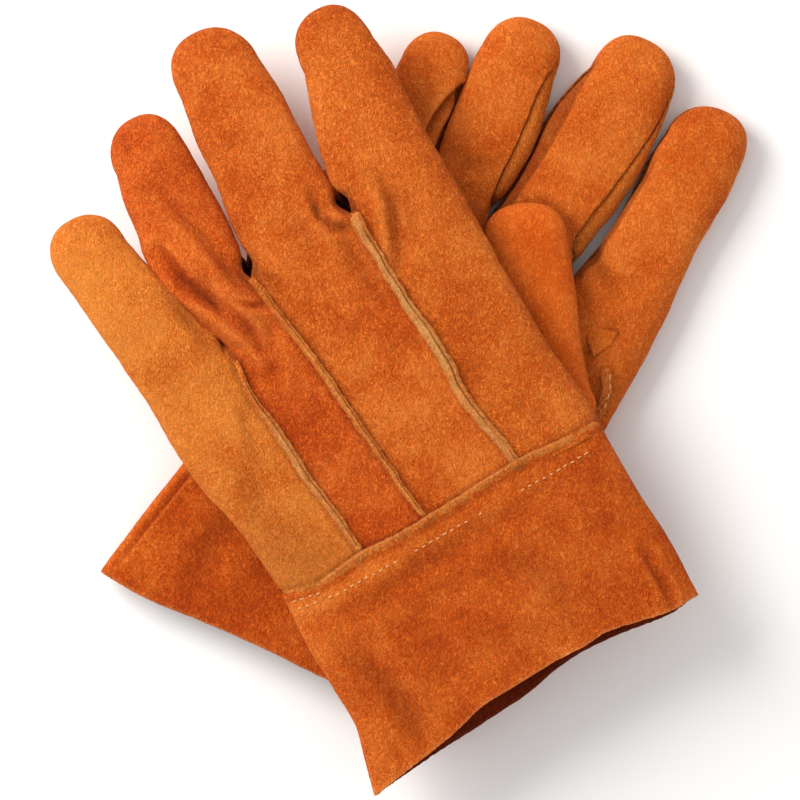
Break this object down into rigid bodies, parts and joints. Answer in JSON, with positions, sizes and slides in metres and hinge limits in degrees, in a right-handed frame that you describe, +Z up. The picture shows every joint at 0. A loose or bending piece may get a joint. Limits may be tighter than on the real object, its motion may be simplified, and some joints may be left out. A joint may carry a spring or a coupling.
{
  "type": "welding gloves",
  "caption": "Crossed pair of short-cuff suede welding gloves, upper back up and lower palm up, with separate panels, seams, thumbs and folding fingers.",
  "frame": {"origin": "middle of the pair's plan, on the surface it lies on", "axes": "+Z up from the surface, +Y towards the fingertips of the crossed pair, +X towards the lower glove's index finger"},
  "size_m": [0.2532, 0.2898, 0.0511],
  "materials": {
    "back_leather": "napped split suede",
    "palm_leather": "napped split suede",
    "cuff_leather": "napped split suede",
    "seam_leather": "raw cut edges of suede",
    "thread": "cotton sewing thread"
  },
  "bodies": {
    "left_hand": {"left_back_panel_little": "back_leather", "left_back_panel_ring": "back_leather", "left_back_panel_middle": "back_leather", "left_back_panel_index": "back_leather", "left_seam_ring_little": "seam_leather", "left_seam_middle_ring": "seam_leather", "left_seam_index_middle": "seam_leather", "left_thumb_patch": "palm_leather", "left_palm": "palm_leather", "left_cuff_back": "cuff_leather", "left_cuff_palm": "cuff_leather", "left_cuff_edge": "cuff_leather", "left_cuff_stitching": "thread"},
    "left_thumb": {"left_thumb_inner": "palm_leather", "left_thumb_outer": "palm_leather", "left_thumb_seam": "palm_leather"},
    "left_little": {"left_little_front": "palm_leather", "left_little_back": "back_leather"},
    "left_ring": {"left_ring_front": "palm_leather", "left_ring_back": "back_leather"},
    "left_middle": {"left_middle_front": "palm_leather", "left_middle_back": "back_leather"},
    "left_index": {"left_index_front": "palm_leather", "left_index_back": "back_leather"},
    "right_hand": {"right_back_panel_little": "back_leather", "right_back_panel_ring": "back_leather", "right_back_panel_middle": "back_leather", "right_back_panel_index": "back_leather", "right_seam_ring_little": "seam_leather", "right_seam_middle_ring": "seam_leather", "right_seam_index_middle": "seam_leather", "right_thumb_patch": "palm_leather", "right_palm": "palm_leather", "right_cuff_back": "cuff_leather", "right_cuff_palm": "cuff_leather", "right_cuff_edge": "cuff_leather", "right_cuff_stitching": "thread"},
    "right_thumb": {"right_thumb_inner": "palm_leather", "right_thumb_outer": "palm_leather", "right_thumb_seam": "palm_leather"},
    "right_ring_tip": {"right_ring_tip_front": "palm_leather", "right_ring_tip_back": "back_leather"},
    "right_middle_tip": {"right_middle_tip_front": "palm_leather", "right_middle_tip_back": "back_leather"},
    "right_index_tip": {"right_index_tip_front": "palm_leather", "right_index_tip_back": "back_leather"}
  },
  "joints": [
    {"name": "left_glove_lift", "type": "slide", "parent": "right_hand", "child": "left_hand", "axis": [0, 0, 1], "range_m": [0, 0.15]},
    {"name": "left_little_fold", "type": "hinge", "parent": "left_hand", "child": "left_little", "pos_m": [-0.08581, 0.01747, 0.0466], "axis": [0.7965, 0.6046, 0], "range_deg": [0, 45]},
    {"name": "left_ring_fold", "type": "hinge", "parent": "left_hand", "child": "left_ring", "pos_m": [-0.06963, 0.04436, 0.0466], "axis": [0.9041, 0.4274, 0], "range_deg": [0, 45]},
    {"name": "left_middle_fold", "type": "hinge", "parent": "left_hand", "child": "left_middle", "pos_m": [-0.04188, 0.06498, 0.0466], "axis": [0.9184, 0.3955, 0], "range_deg": [0, 45]},
    {"name": "left_index_fold", "type": "hinge", "parent": "left_hand", "child": "left_index", "pos_m": [-0.00299, 0.08365, 0.0466], "axis": [0.9239, 0.3827, 0], "range_deg": [0, 45]},
    {"name": "left_thumb_swing", "type": "hinge", "parent": "left_hand", "child": "left_thumb", "pos_m": [0.01524, 0.01964, 0.0306], "axis": [0, 0, -1], "range_deg": [0, 40]},
    {"name": "right_ring_curl", "type": "hinge", "parent": "right_hand", "child": "right_ring_tip", "pos_m": [0.0351, 0.10941, 0.016], "axis": [0.91, -0.4147, 0], "range_deg": [0, 65]},
    {"name": "right_middle_curl", "type": "hinge", "parent": "right_hand", "child": "right_middle_tip", "pos_m": [0.07189, 0.09837, 0.016], "axis": [0.8652, -0.5015, 0], "range_deg": [0, 65]},
    {"name": "right_index_curl", "type": "hinge", "parent": "right_hand", "child": "right_index_tip", "pos_m": [0.10087, 0.0757, 0.016], "axis": [0.866, -0.5, 0], "range_deg": [0, 65]},
    {"name": "right_thumb_swing", "type": "hinge", "parent": "right_hand", "child": "right_thumb", "pos_m": [0.05475, 0.00731, 0.016], "axis": [0, 0, -1], "range_deg": [0, 75]}
  ]
}
